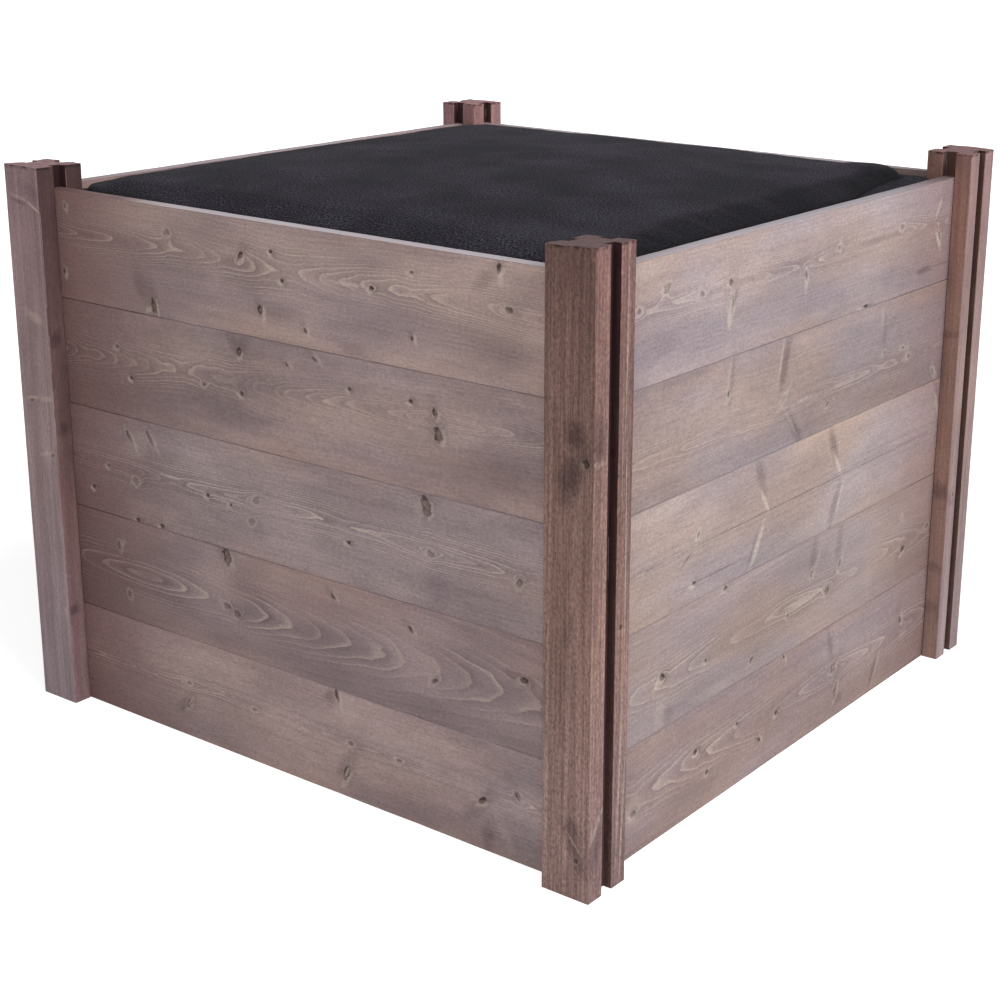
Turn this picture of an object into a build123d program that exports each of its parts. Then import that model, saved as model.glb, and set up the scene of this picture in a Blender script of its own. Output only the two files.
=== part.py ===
from build123d import *
from math import cos, radians, sin
import os

# A slot-together timber compost bin: grooved corner posts, loose boards and a padded cover.
# Millimetres. X runs across the front, Y from front to rear, Z up, origin at the base centre.

# Frame
frame_width = 1000.0          # over the posts' outer faces, along X
frame_depth = 1000.0          # over the posts' outer faces, along Y

# Corner posts
post_size_x = 70.0
post_size_y = 75.0
post_head = 36.3              # how far the posts stand above the boards
post_edge_radius = 2.0        # eased arrises down the four corners
groove_depth = 12.0

# Boards
boards_per_side = 5
board_height = 150.5
board_thickness = 19.0
board_edge_bevel = 1.2
face_clearance = 0.5          # each face of a board to its groove wall
end_clearance = 1.5           # each end of a board to its groove floor
stack_gap = 0.3               # between one board and the next

# Padded cover: two fabric panels sewn together round the wadding, with a flat flange outside the seam
cover_fit_gap = 0.3           # flange edge to the boards and posts round it
flange_width = 38.0
flange_drop = 8.0             # flange's mid level below the top edge of the boards
fabric_thickness = 1.5
wadding_gap = 0.3             # wadding to the fabric round it
pillow_rise = 36.0            # crown above the flange's mid level
pillow_fall = 36.0            # belly below it
pillow_corner_radius = 60.0
seam_draw_in = 6.0            # how far each side of the seam pulls in between its corners
crown_inset = 190.0           # seam to the flat of the crown, along which each side rounds over
round_over_steps = 6

# Sizes that follow from those above
groove_width = board_thickness + 2 * face_clearance
post_center_x = (frame_width - post_size_x) / 2
post_center_y = (frame_depth - post_size_y) / 2
seat_in_groove = groove_depth - end_clearance
front_board_length = frame_width - 2 * post_size_x + 2 * seat_in_groove
side_board_length = frame_depth - 2 * post_size_y + 2 * seat_in_groove
board_pitch = board_height + stack_gap
board_top = boards_per_side * board_pitch - stack_gap
post_height = board_top + post_head
inside_half_x = post_center_x - board_thickness / 2
inside_half_y = post_center_y - board_thickness / 2
flange_half_x = inside_half_x - cover_fit_gap
flange_half_y = inside_half_y - cover_fit_gap
flange_level = board_top - flange_drop
post_inner_x = frame_width / 2 - post_size_x
post_inner_y = frame_depth / 2 - post_size_y

STANDING = (Align.CENTER, Align.CENTER, Align.MIN)


def make_post(side_x, side_y):
    """Corner post with a groove in both X faces and one in the Y face that looks into the bin."""
    post = Box(post_size_x, post_size_y, post_height, align=STANDING)
    post = fillet(post.edges().filter_by(Axis.Z), post_edge_radius)
    across = Box(2 * groove_depth, groove_width, post_height, align=STANDING)
    along = Box(groove_width, 2 * groove_depth, post_height, align=STANDING)
    for face in (-1, 1):
        post -= Pos(face * post_size_x / 2, 0, 0) * across
    post -= Pos(0, -side_y * post_size_y / 2, 0) * along
    return Pos(side_x * post_center_x, side_y * post_center_y, 0) * post


def make_board(length, level):
    """Square-ended board with bevelled long edges, at its level in the stack, lying along X."""
    board = Box(length, board_thickness, board_height, align=STANDING)
    board = chamfer(board.edges().filter_by(Axis.X), board_edge_bevel)
    return Pos(0, 0, level * board_pitch) * board


def seam_face(inset, level):
    """Face inside the seam line: rounded corners, with each side an arc that draws in."""
    half_x = flange_half_x - flange_width - inset
    half_y = flange_half_y - flange_width - inset
    keep = half_x / (flange_half_x - flange_width)
    radius = pillow_corner_radius * keep
    draw_in = seam_draw_in * keep
    bulge = radius * (1 - 0.5 ** 0.5)
    edges = []
    for sx, sy in ((1, 1), (-1, 1), (-1, -1), (1, -1)):
        side_end = (sx * half_x, sy * (half_y - radius), level)
        corner_mid = (sx * (half_x - bulge), sy * (half_y - bulge), level)
        end_start = (sx * (half_x - radius), sy * half_y, level)
        edges.append(ThreePointArc(side_end, corner_mid, end_start))
    for sx in (1, -1):
        low = (sx * half_x, radius - half_y, level)
        high = (sx * half_x, half_y - radius, level)
        edges.append(ThreePointArc(low, (sx * (half_x - draw_in), 0, level), high))
    for sy in (1, -1):
        left = (radius - half_x, sy * half_y, level)
        right = (half_x - radius, sy * half_y, level)
        edges.append(ThreePointArc(left, (0, sy * (half_y - draw_in), level), right))
    return make_face(edges)


def make_mound(height, skin):
    """Half of the pillow on the flange's mid plane, drawn in by a skin; a negative height hangs below."""
    up = 1 if height > 0 else -1
    tall = height - up * skin
    turns = [radians(90 * step / round_over_steps) for step in range(round_over_steps + 1)]
    sections = []
    for turn in turns:
        inset = skin + crown_inset * (1 - cos(turn))
        sections.append(seam_face(inset, flange_level + tall * sin(turn)))
    return loft(sections, ruled=True)


def make_flange(up):
    """One fabric layer of the flange, notched at its corners to pass the posts."""
    layer = Box(2 * flange_half_x, 2 * flange_half_y, fabric_thickness, align=STANDING)
    notch_x = 2 * (flange_half_x - post_inner_x + cover_fit_gap)
    notch_y = 2 * (flange_half_y - post_inner_y + cover_fit_gap)
    notch = Box(notch_x, notch_y, fabric_thickness, align=STANDING)
    for sx in (-1, 1):
        for sy in (-1, 1):
            layer -= Pos(sx * flange_half_x, sy * flange_half_y, 0) * notch
    low = flange_level if up > 0 else flange_level - fabric_thickness
    return Pos(0, 0, low) * layer


def make_panel(height):
    """Fabric panel of the cover: half of the pillow as a thin shell, with its flange layer."""
    up = 1 if height > 0 else -1
    return make_flange(up) + make_mound(height, 0) - make_mound(height, fabric_thickness)


def make_wadding():
    """Soft filling between the two panels."""
    skin = fabric_thickness + wadding_gap
    return make_mound(pillow_rise, skin) + make_mound(-pillow_fall, skin)


nodes = {}
for row, side_y in (("front", -1), ("rear", 1)):
    for column, side_x in (("left", -1), ("right", 1)):
        nodes[f"post_{row}_{column}"] = make_post(side_x, side_y)

for level in range(boards_per_side):
    for row, side_y in (("front", -1), ("rear", 1)):
        board = make_board(front_board_length, level)
        nodes[f"{row}_board_{level + 1}"] = Pos(0, side_y * post_center_y, 0) * board
    for column, side_x in (("left", -1), ("right", 1)):
        board = Rot(0, 0, 90) * make_board(side_board_length, level)
        nodes[f"{column}_board_{level + 1}"] = Pos(side_x * post_center_x, 0, 0) * board

nodes["cover_top_panel"] = make_panel(pillow_rise)
nodes["cover_bottom_panel"] = make_panel(-pillow_fall)
nodes["cover_wadding"] = make_wadding()

os.makedirs("parts", exist_ok=True)
for name, solid in nodes.items():
    solid.label = name
    export_step(solid, f"parts/{name}.step")
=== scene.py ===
import math
import random
from collections import namedtuple

import bmesh
import bpy
import numpy as np
from mathutils import Matrix, Vector, noise


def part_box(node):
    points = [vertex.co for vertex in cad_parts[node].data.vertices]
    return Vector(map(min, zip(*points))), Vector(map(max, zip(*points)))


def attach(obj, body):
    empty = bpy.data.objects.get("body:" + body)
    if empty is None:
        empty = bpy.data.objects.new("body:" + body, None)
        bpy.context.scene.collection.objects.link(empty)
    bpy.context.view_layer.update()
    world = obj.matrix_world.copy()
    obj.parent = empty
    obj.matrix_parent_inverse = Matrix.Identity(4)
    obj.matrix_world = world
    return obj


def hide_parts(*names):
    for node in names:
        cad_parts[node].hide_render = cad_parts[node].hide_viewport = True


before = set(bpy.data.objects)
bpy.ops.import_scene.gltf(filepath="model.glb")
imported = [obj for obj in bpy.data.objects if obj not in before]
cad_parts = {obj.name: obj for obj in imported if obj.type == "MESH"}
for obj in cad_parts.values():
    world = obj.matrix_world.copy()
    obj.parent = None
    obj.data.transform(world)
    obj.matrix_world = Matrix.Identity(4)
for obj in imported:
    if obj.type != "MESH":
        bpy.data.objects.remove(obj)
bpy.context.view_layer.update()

bl_info = {
    "name": "Slotted Compost Bin",
    "version": (1, 0, 0),
    "blender": (4, 5, 0),
    "location": "View3D > Sidebar > Compost Bin",
    "description": "Dresses a slot-together timber compost bin: planks, posts, padded cover and stage",
    "category": "Object",
}

MM = 0.001

# Places read from the frame, in metres
SIDES = ("front", "rear", "left", "right")
BOARDS_PER_SIDE = sum(name.startswith("front_board_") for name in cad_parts)
POSTS = sorted(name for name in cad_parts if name.startswith("post_"))
BOARD_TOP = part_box(f"front_board_{BOARDS_PER_SIDE}")[1].z
INSIDE_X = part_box("right_board_1")[0].x
INSIDE_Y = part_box("rear_board_1")[0].y
POST_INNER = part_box("post_rear_right")[0]
BELLY_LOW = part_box("cover_bottom_panel")[0].z

# A knot on a face, in millimetres and degrees: place along and up it, half sizes, tilt from the grain, and
# how dark it is
Knot = namedtuple("Knot", "along up long wide tilt dark", defaults=(0, 0.9))
# A soft streak or patch on a face, in millimetres and degrees: place, half sizes, tilt, and its tone, which
# is paler above 0 and darker below
Smear = namedtuple("Smear", "along up long wide tilt tone")
# How one board was cut from the tree: height, rise and least depth of the heart, ring width, where the heart
# lies nearest the face, how far it then dips and how fast, how clear the rings are, lightness, tint and marks
Cut = namedtuple("Cut", "heart_up rise heart_deep ring centre reach slope lines light tint knots smears")
# How one post took the stain and its painted light: lightness at foot and top, which paints the light and
# shade on each face, and tint of its Y faces, the same of its X faces, how its sawn top slopes along X and Y
# and its drop in millimetres, how much painted shade lies in its grooves at foot and top, how coarse its
# grain is, and its marks
PostLook = namedtuple("PostLook", "light tint side_light side_tint lean soak coarse knots smears")
# How one side took the stain and its painted light: how dark the boards' two ends are, partly soaked stain
# and partly painted shade, how much painted light lies on their top edges, how uneven the wash and its hue
SideLook = namedtuple("SideLook", "start_dark end_dark top_pale wash tinge")
# A tint is how much redder and how much bluer the wood is than its colour, as two factors
PLAIN = (1.0, 1.0)
# What a knot and a smear add to a face
KNOT_PARTS = ("Core", "Rim", "Pale", "Plume", "Push")
SMEAR_PARTS = ("Bare", "Shade")
# A post's X faces are laid out this many millimetres beside its Y faces, so that marks can be on either
FACE_APART = 1000
# Cuts along a board and a post, so that their edges can be worn, and spacing of the cuts of a post's sawn top
PLANK_STEPS = 63
POST_STEPS = 59
TOP_GRID = 9 * MM
# How rough a post's sawn top is, how deep and how far in its edge is torn, and what counts as one place
TOP_ROUGH = 0.5 * MM
TOP_TORN = 1.6 * MM
TORN_REACH = 2 * MM
HAIR = 0.1 * MM
# The cover's grid: rows of the flat flange outside the seam, rows cut away round posts, room to the boards
FLANGE_ROWS = 4
NOTCH_ROWS = 3
EDGE_ROOM = 0.8 * MM
# Fine finish: spacing of saw marks and threads, strength and depth of relief, shine, and the sewing thread
SAW_PITCH = 3.1 * MM
THREAD_PITCH = 1.7 * MM
WOOD_BUMP = (0.35, 0.6 * MM)
WOOD_SHINE = 0.25
CLOTH_BUMP = (0.22, 0.8 * MM)
CLOTH_SHINE = 0.08
THREAD_COLOUR = (0.002, 0.002, 0.0025, 1.0)
# How much the floor glows to the camera, so that it stays white in the shade, and the light from all round
FLOOR_LIFT = 0.66
AMBIENT = 0.30

SIDE_LOOKS = {
    "front": SideLook(0.95, 0.0, 0.75, 0.9, 0.65),
    "right": SideLook(0.12, 0.56, 0.42, 0.6, 1.4),
    "rear": SideLook(0.3, 0.3, 0.6, 0.8, 1.0),
    "left": SideLook(0.3, 0.3, 0.6, 0.7, 1.0),
}

BOARD_CUTS = {
    "front_board_5": Cut(17, 0.0, 3, 2.8, -440, 440, 0.065, 0.75, 1.02, (0.99, 1.0), (
        Knot(-210, 720, 7, 6, 0, 0.35), Knot(-74, 706, 6, 4, 60), Knot(-20, 718, 3, 2.5),
        Knot(-2, 683, 3, 2.5), Knot(148, 694, 4, 3.5), Knot(344, 743, 6, 3.5, 80),
        Knot(358, 697, 6, 4, 0, 0.6), Knot(212, 722, 3, 2, 0, 0.6), Knot(-242, 616, 12, 5, 105),
        Knot(-42, 640, 8, 4.5, 105), Knot(36, 625, 4, 2.5, 120, 0.7), Knot(212, 642, 3, 2, 120),
        Knot(-422, 642, 5, 2.5, 100, 0.7), Knot(-412, 733, 4, 2.5, 100, 0.5)), (
        Smear(-61, 678, 50, 30, 0, -0.36), Smear(-266, 644, 26, 13, 112, -0.55),
        Smear(-253, 611, 8, 4, 30, 0.6), Smear(-20, 644, 45, 12, 0, -0.35),
        Smear(108, 694, 26, 2.5, 0, 0.8), Smear(322, 727, 20, 9, 40, -0.45),
        Smear(348, 727, 6, 5, 60, 0.5), Smear(357, 655, 60, 18, 0, -0.3), Smear(117, 612, 22, 8, 0, -0.3))),
    "front_board_4": Cut(13, 0.022, 2, 2.4, 260, 450, 0.075, 0.65, 0.88, (1.005, 1.01), (
        Knot(-84, 580, 7, 4.5, 60), Knot(246, 556, 6, 4, 110, 0.8), Knot(251, 530, 11, 7, 105, 0.8),
        Knot(208, 564, 3, 2.5), Knot(-322, 550, 4, 3, 0, 0.5), Knot(-296, 510, 3, 2.5, 0, 1.0),
        Knot(-82, 524, 4, 3), Knot(-152, 525, 4, 3, 0, 0.5), Knot(108, 562, 2.5, 2),
        Knot(50, 591, 5, 2, 150, 0.7), Knot(2, 576, 3, 2, 150, 0.7)), (
        Smear(-112, 527, 105, 42, 0, -0.28), Smear(-92, 588, 18, 9, 130, -0.5),
        Smear(-163, 573, 60, 22, 0, 0.22), Smear(287, 527, 30, 9, 20, 0.28),
        Smear(-372, 500, 50, 40, 0, -0.25), Smear(340, 500, 70, 30, 0, -0.2))),
    "front_board_3": Cut(2, 0.0, 3, 3.2, -66, 151, 0.05, 1.0, 0.95, (0.975, 1.03), (
        Knot(230, 436, 15, 8, 100, 0.8), Knot(-308, 424, 13, 3.5, 125, 0.6),
        Knot(-266, 430, 13, 3.5, 125, 0.6), Knot(-64, 382, 8, 7, 0, 0.25), Knot(-74, 350, 7, 6, 0, 0.25),
        Knot(236, 376, 7, 6, 0, 0.35), Knot(-300, 362, 8, 7, 0, 0.25), Knot(374, 370, 6, 5, 40, 0.5),
        Knot(-356, 374, 3, 2.5, 0, 0.7), Knot(-156, 370, 3.5, 2.5), Knot(-112, 366, 3, 2, 0, 0.7),
        Knot(100, 360, 3.5, 2.5), Knot(-390, 336, 3.5, 3), Knot(-250, 306, 5, 3.5), Knot(-300, 305, 4, 3)), (
        Smear(219, 430, 9, 16, 0, 0.4), Smear(-288, 418, 30, 16, 20, 0.28),
        Smear(-375, 325, 55, 26, 0, -0.3), Smear(-232, 382, 22, 2.5, 0, 0.7),
        Smear(185, 319, 45, 9, 0, 0.3), Smear(245, 345, 16, 40, 0, -0.22), Smear(-242, 312, 6, 9, 0, 0.3))),
    "front_board_2": Cut(-2, 0.0, 6, 5.0, -290, 760, 0.1, 1.0, 0.8, (1.02, 1.04), (
        Knot(-124, 290, 14, 8, 110), Knot(-110, 212, 7, 6, 0, 0.6), Knot(-344, 258, 7, 4, 100, 0.5),
        Knot(-328, 188, 7, 4, 100, 0.4), Knot(382, 248, 6, 4.5), Knot(70, 280, 5, 2.5, 140, 0.7),
        Knot(202, 268, 5, 2.5, 140, 0.7), Knot(240, 208, 6, 3, 30, 0.6), Knot(-128, 218, 8, 5, 0, 0.5)), (
        Smear(-148, 262, 36, 30, 0, 0.32), Smear(-80, 245, 44, 24, 150, -0.28),
        Smear(139, 171, 190, 20, 0, -0.22), Smear(362, 180, 34, 20, 0, 0.3),
        Smear(-370, 200, 55, 34, 0, -0.35), Smear(366, 250, 16, 8, 0, -0.5),
        Smear(-335, 264, 8, 5, 30, 0.4))),
    "front_board_1": Cut(5, 0.0, 2, 2.6, 80, 400, 0.014, 0.8, 1.04, (0.99, 1.03), (
        Knot(-214, 52, 9, 4, 50, 0.6), Knot(86, 36, 14, 5, 65, 0.8), Knot(72, 142, 9, 3, 105, 0.8),
        Knot(94, 80, 6, 4, 0, 0.3), Knot(372, 92, 8, 4, 120, 0.5), Knot(316, 68, 7, 4, 40),
        Knot(-84, 78, 5, 3, 0, 0.3), Knot(178, 80, 5, 3, 0, 0.4), Knot(-214, 82, 6, 3, 0, 0.3)), (
        Smear(60, 138, 14, 11, 60, -0.6), Smear(92, 126, 14, 28, 0, 0.28),
        Smear(-218, 50, 24, 10, 40, -0.6), Smear(-212, 54, 8, 2.2, 50, 0.8),
        Smear(325, 18, 10, 20, 0, -0.55), Smear(350, 36, 30, 8, 115, 0.32),
        Smear(305, 52, 22, 10, 40, -0.4), Smear(84, 46, 22, 9, 60, -0.6), Smear(87, 38, 11, 2.4, 62, 0.8),
        Smear(-360, 90, 50, 50, 0, -0.2))),
    "right_board_5": Cut(15, 0.0, 2, 2.8, -184, 180, 0.05, 0.5, 1.22, (0.93, 1.035), (
        Knot(-182, 668, 18, 7, 85, 0.3), Knot(-184, 698, 5, 4, 0, 0.6), Knot(-324, 714, 9, 6, 30, 0.3),
        Knot(-248, 694, 7, 4, 0, 0.35), Knot(-380, 696, 6, 4, 0, 0.3), Knot(2, 676, 8, 3.5, 100, 0.35),
        Knot(88, 700, 6, 4, 0, 0.3), Knot(268, 702, 8, 5, 0, 0.2), Knot(388, 672, 8, 3, 110, 0.35),
        Knot(170, 606, 6, 1.5, 0, 1.0)), (
        Smear(-174, 676, 14, 5, 60, -0.7), Smear(-184, 662, 20, 5, 85, 0.8),
        Smear(-369, 741, 34, 10, 0, 0.25), Smear(-329, 649, 28, 12, 0, -0.25),
        Smear(-70, 695, 90, 6, 0, -0.35), Smear(205, 695, 60, 6, 0, -0.35),
        Smear(382, 715, 16, 4, 60, 0.7), Smear(385, 667, 20, 4, 118, 0.6), Smear(2, 662, 12, 4, 90, 0.5),
        Smear(91, 704, 11, 4, 90, 0.45), Smear(345, 629, 24, 5, 0, -1.0),
        Smear(405, 630, 34, 1.5, 0, -0.8), Smear(395, 730, 26, 14, 60, -0.35))),
    "right_board_4": Cut(-18, 0.0, 2, 3.2, -55, 400, 0.03, 0.5, 1.01, (0.94, 1.03), (
        Knot(-44, 520, 8, 4, 40, 0.3), Knot(-181, 556, 4, 2.5, 70, 0.7), Knot(236, 528, 5, 3, 0, 0.3),
        Knot(312, 508, 7, 4, 0, 0.3), Knot(292, 524, 5, 3, 0, 0.3), Knot(75, 487, 4, 2, 30, 0.5),
        Knot(396, 468, 9, 4, 130, 0.4)), (
        Smear(-43, 567, 36, 9, 76, -0.7), Smear(-54, 573, 34, 3, 78, 0.6),
        Smear(-36, 527, 18, 4, 40, 0.55), Smear(-12, 473, 36, 8, 128, -0.65),
        Smear(-23, 484, 30, 3, 128, 0.5), Smear(-181, 573, 34, 3, 80, 0.45),
        Smear(-174, 570, 34, 6, 82, -0.35), Smear(225, 579, 18, 5, 100, 0.4),
        Smear(234, 558, 26, 6, 95, -0.35), Smear(397, 470, 14, 7, 120, 0.4),
        Smear(4, 507, 55, 4, 0, 0.35), Smear(130, 508, 40, 3, 0, 0.35), Smear(306, 518, 8, 14, 0, 0.3))),
    "right_board_3": Cut(-3, 0.0, 1.0, 2.6, 0, 430, 0.004, 0.35, 1.24, (0.93, 1.0), (
        Knot(-248, 326, 4, 2, 0, 0.9), Knot(-240, 388, 6, 3, 60, 0.3)), (
        Smear(-92, 425, 30, 9, 112, -0.5), Smear(-81, 391, 20, 4, 125, 0.75),
        Smear(-95, 334, 32, 5, 62, 0.75), Smear(-106, 334, 30, 2, 62, -0.5),
        Smear(99, 425, 30, 9, 112, -0.7), Smear(114, 393, 24, 4, 125, 0.75),
        Smear(109, 331, 34, 9, 66, -0.55), Smear(125, 342, 28, 3, 66, 0.6),
        Smear(417, 428, 30, 8, 112, -0.6), Smear(420, 408, 24, 4, 112, 0.5),
        Smear(-190, 325.5, 70, 1.0, 0, -0.8), Smear(-266, 362, 14, 2, 30, -0.7),
        Smear(-330, 440, 70, 10, 0, 0.2), Smear(60, 318, 70, 12, 0, 0.2), Smear(0, 374, 470, 0.9, 0, -0.7))),
    "right_board_2": Cut(-10, 0.0, 6, 4.0, 10, 460, 0.065, 0.7, 1.01, (0.95, 1.0), (
        Knot(-314, 222, 6, 5), Knot(102, 208, 8, 6, 20, 0.5), Knot(56, 248, 7, 4, 60, 0.3),
        Knot(136, 240, 8, 4, 60, 0.4), Knot(-100, 172, 6, 3, 30, 0.5), Knot(332, 204, 7, 4, 40, 0.8),
        Knot(412, 220, 7, 5, 0, 0.35), Knot(-214, 210, 3, 2, 0, 0.7), Knot(-172, 296, 5, 3, 0, 0.6),
        Knot(-8, 206, 3, 2, 0, 0.6)), (
        Smear(28, 215, 38, 5.5, 0, 0.75), Smear(59, 273, 26, 9, 80, -0.4),
        Smear(131, 273, 28, 9, 80, -0.4), Smear(70, 262, 20, 5, 60, 0.35),
        Smear(146, 255, 20, 5, 60, 0.35), Smear(-318, 172, 12, 20, 0, 0.35),
        Smear(-186, 163, 48, 8, 0, 0.3), Smear(-326, 214, 12, 6, 40, 0.5),
        Smear(322, 196, 14, 7, 30, -0.5), Smear(325, 258, 7, 8, 0, 0.4),
        Smear(-300, 165, 14, 12, 0, -0.35), Smear(225, 190, 10, 26, 0, 0.2))),
    "right_board_1": Cut(0, 0.0, 5, 4.4, 134, 500, 0.075, 0.75, 0.9, (0.975, 1.03), (
        Knot(132, 80, 9, 6, 20, 0.5), Knot(142, 40, 13, 6, 75, 0.4), Knot(-372, 58, 6, 4.5),
        Knot(-232, 88, 5, 3, 20), Knot(-202, 48, 4, 3, 20, 0.7), Knot(-28, 68, 4, 3, 20),
        Knot(-70, 44, 4, 2.5, 140), Knot(-130, 90, 3, 2, 0, 0.7), Knot(-12, 146, 4, 2, 120, 0.6),
        Knot(340, 88, 8, 4, 120, 0.6)), (
        Smear(-372, 62, 20, 18, 0, 0.4), Smear(120, 120, 26, 7, 110, -0.5), Smear(140, 82, 9, 3, 10, 0.6),
        Smear(150, 44, 14, 3, 75, 0.5), Smear(154, 26, 12, 8, 20, -0.45),
        Smear(258, 32, 24, 6, 65, -0.65), Smear(270, 38, 22, 3, 65, 0.55), Smear(352, 62, 12, 9, 0, 0.3),
        Smear(346, 94, 8, 5, 120, 0.4), Smear(-226, 80, 6, 5, 0, 0.45), Smear(-196, 52, 6, 4, 0, 0.4))),
}

POST_LOOKS = {
    "post_front_right": PostLook(
        (1.06, 0.42), (1.03, 0.865), (0.96, 0.83), (1.02, 0.91), (0.045, -0.02, 2.4), (0.74, 0.97), 1.15, (
        Knot(547, 25, 5.5, 5, 0, 0.95), Knot(337, 1019, 4, 3.5, 0, 0.6), Knot(52, 16, 4, 3, 20, 0.5)), (
        Smear(526, 2, 26, 15, 20, -0.9), Smear(577, 9, 17, 13, 0, -0.9), Smear(503, -4, 14, 9, 30, -0.6),
        Smear(63, 15, 28, 9, -20, -0.7), Smear(90, 8, 15, 12, 0, -0.7), Smear(74, 13, 20, 1.2, -40, 0.6),
        Smear(250, -28, 260, 2.2, 0.6, 0.35), Smear(340, 2, 22, 6, 10, -0.4),
        Smear(572, 972, 28, 14, 0, -0.7), Smear(546, 972, 4, 14, 0, 0.4),
        Smear(60, 972, 42, 11, 20, -0.6), Smear(100, 978, 26, 3, 30, 0.5),
        Smear(680, 1024, 110, 1.4, 0.5, 0.9), Smear(430, 1027, 130, 1.4, -0.6, 0.8),
        Smear(150, 1022, 120, 2, 2, 0.7), Smear(90, 1030, 90, 2, 3, 0.6),
        Smear(560, 1018, 90, 1.4, 0, 0.5), Smear(620, 1027, 240, 18, 0, -0.4),
        Smear(20, 1027, 70, 18, 0, -0.35))),
    "post_front_left": PostLook(
        (1.44, 1.08), (0.865, 1.06), (0.87, 0.2), (1.07, 1.0), (0.0, -0.02, 6.0), (0.95, 0.95), 0.5, (
        Knot(454, -13, 5, 2, 80, 0.5), Knot(379, 24, 5, 3, 70, 0.3)), (
        Smear(741, -6, 17, 2.2, 102, 0.4), Smear(731, 21, 13, 1.8, 118, 0.85),
        Smear(735, -8, 16, 3, 102, -0.5), Smear(752, 16, 22, 10, 110, -0.3),
        Smear(460, 18, 13, 4, 80, 0.5), Smear(458, -8, 12, 3, 80, 0.5), Smear(379, 13, 14, 3, 75, 0.4),
        Smear(576, 6, 20, 7, 110, 0.4), Smear(142, 28, 8, 4, 0, 0.3), Smear(145, 973, 8, 10, 0, -0.7),
        Smear(416, 976, 10, 10, 0, -0.6), Smear(547, 974, 12, 10, 0, -0.7))),
    "post_rear_right": PostLook(
        (1.22, 0.88), (1.05, 0.84), (1.38, 1.12), (0.888, 0.983), (-0.01, 0.01, 1.2), (0.70, 0.68), 0.5, (
        Knot(268, 980, 4, 3, 0, 0.5), Knot(610, 8, 4, 3, 0, 0.5)), (
        Smear(275, 20, 14, 15, 0, -0.6), Smear(152, 18, 8, 15, 0, -0.4), Smear(520, 20, 6, 15, 0, -0.4),
        Smear(85, 15, 12, 15, 0, -0.4), Smear(262, 975, 12, 12, 0, -0.4))),
    "post_rear_left": PostLook(
        (1.40, 1.25), (1.03, 1.03), (1.3, 1.2), (1.02, 1.0), (0.01, -0.02, 2.2), (0.9, 0.9), 0.7, (
        Knot(650, 10, 6, 4, 0, 0.6), Knot(420, -12, 7, 4, 0, 0.7), Knot(180, 1012, 6, 4, 0, 0.6)), (
        Smear(610, 8, 30, 12, 10, -0.5), Smear(400, -10, 34, 12, 0, -0.5),
        Smear(200, 1010, 30, 12, 0, -0.5))),
}


def guess_cut(name):
    """A plausible cut for a board that can't be seen, drawn from its name."""
    draw = random.Random(name)
    low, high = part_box(name)
    half = 400

    def place():
        return draw.uniform(-half, half), draw.uniform(low.z / MM + 8, high.z / MM - 8)

    knots = []
    for _ in range(draw.randint(6, 10)):
        long = draw.choice((3, 3, 4, 5, 6, 8, 12))
        knots.append(Knot(*place(), long, long * draw.uniform(0.4, 0.8), draw.choice((0, 20, 60, 100, 120)),
                          draw.uniform(0.3, 0.95)))
    smears = []
    for knot in knots[:4]:
        smears.append(Smear(knot.along - 8, knot.up + 14, 4 * knot.long, 2 * knot.long, 100, -0.45))
    for _ in range(3):
        smears.append(Smear(*place(), draw.uniform(30, 80), draw.uniform(8, 24), 0, 0.3))
    tint = (draw.uniform(1.0, 1.05), draw.uniform(0.98, 1.02))
    ranges = ((-18, 18), (-0.02, 0.02), (2, 6), (2.6, 4.6), (-300, 300), (200, 500), (0.03, 0.09), (0.5, 0.8),
              (0.85, 1.05))
    return Cut(*(draw.uniform(*ends) for ends in ranges), tint, tuple(knots), tuple(smears))


def length(label, about, default):
    """A length that a user may change."""
    return bpy.props.FloatProperty(name=label, description=about, default=default, unit="LENGTH")


def paint(label, about, default):
    """A colour that a user may change, as it looks."""
    return bpy.props.FloatVectorProperty(
        name=label, description=about, default=default, size=3, subtype="COLOR_GAMMA")


class BinSizes(bpy.types.PropertyGroup):
    """Sizes of the finish that the frame leaves open."""
    board_bevel: length("Board bevel", "Eased long edges of each board", 0.45 * MM)
    board_wear: length("Board wear", "Most that a board's edge is worn back", 0.5 * MM)
    post_bevel: length("Post bevel", "Eased arrises of each post", 0.8 * MM)
    post_wear: length("Post wear", "Most that a post's arris is worn back", 1.0 * MM)
    cover_mesh: length("Cover mesh", "Spacing of the cover's threads before subdivision", 9.0 * MM)
    groove_width: length("Groove width", "Width of the grooves in the posts", 20 * MM)
    groove_depth: length("Groove depth", "Depth of the grooves in the posts", 12 * MM)
    crown: length("Crown", "How far the cover's middle stands above the boards", 28 * MM)
    swell: length("Swell", "Most that the wadding may push the cloth out", 5 * MM)


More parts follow.
